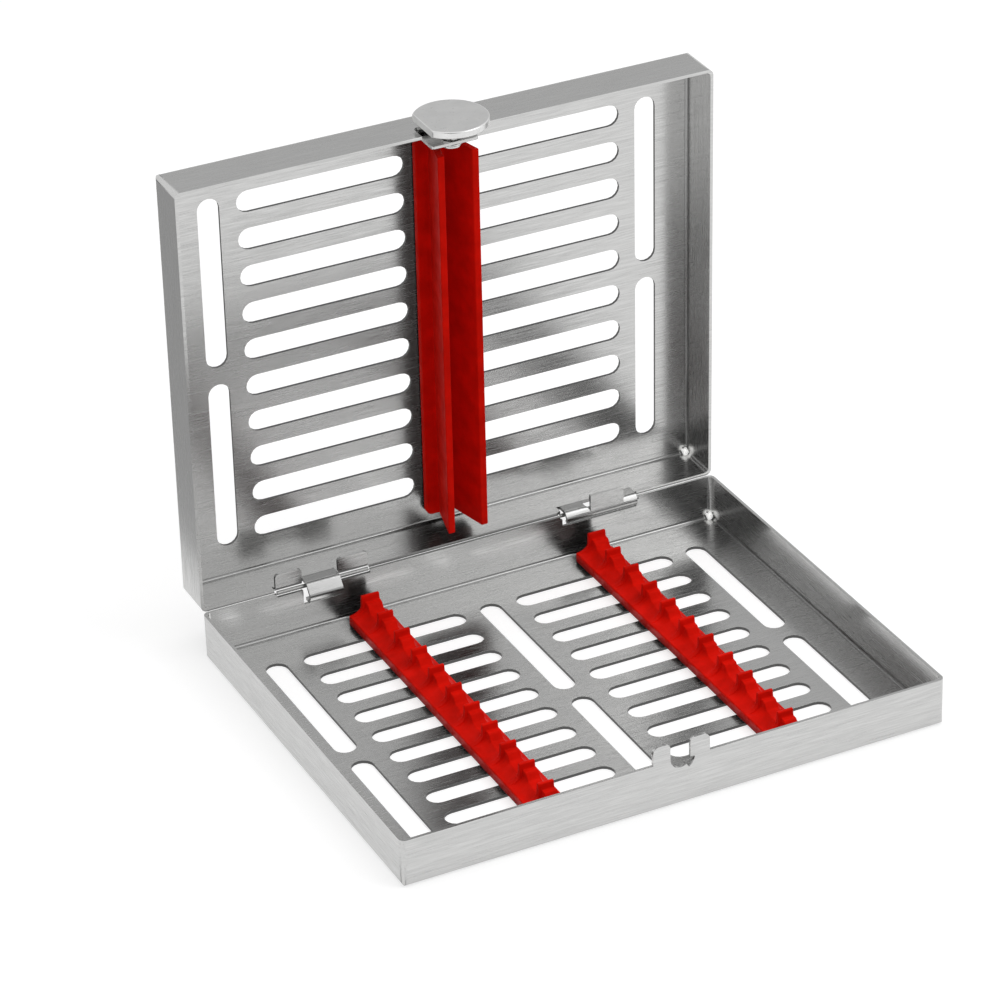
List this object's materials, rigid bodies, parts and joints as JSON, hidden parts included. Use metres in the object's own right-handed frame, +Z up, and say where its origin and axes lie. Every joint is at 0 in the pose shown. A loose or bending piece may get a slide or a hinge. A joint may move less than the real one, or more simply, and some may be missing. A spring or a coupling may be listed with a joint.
{
  "type": "sterilization box",
  "caption": "Slotted stainless steel sterilization box for dental instruments, lid open on hinge rods, with red silicone combs, hold-down channel and a turning front latch.",
  "frame": {"origin": "on the underside of the base, on the land between its middle slots", "axes": "+X to the right along the hinge, +Y from the latch towards the hinge, +Z up"},
  "size_m": [0.18, 0.1609, 0.1654],
  "materials": {
    "brushed_steel_sheet": "satin sheet, fine grain along the walls",
    "polished_steel": "polished",
    "red_silicone": "satin moulded silicone"
  },
  "bodies": {
    "base": {"base_tray": "brushed_steel_sheet", "hinge_rod_left": "polished_steel", "hinge_rod_right": "polished_steel", "comb_left": "red_silicone", "comb_right": "red_silicone"},
    "lid": {"lid_tray": "brushed_steel_sheet", "hold_down_channel": "red_silicone", "latch_plate": "brushed_steel_sheet"},
    "latch": {"latch_knob": "polished_steel", "latch_shaft": "polished_steel", "latch_washer": "polished_steel"}
  },
  "joints": [
    {"name": "lid_hinge", "type": "hinge", "parent": "base", "child": "lid", "pos_m": [0, 0.07575, 0.01585], "axis": [1, 0, 0], "range_deg": [0, 88.7]},
    {"name": "latch_turn", "type": "hinge", "parent": "lid", "child": "latch", "pos_m": [0, 0.07282, 0.16032], "axis": [0, 0.0227, -0.9997], "range_deg": [0, 90]}
  ]
}
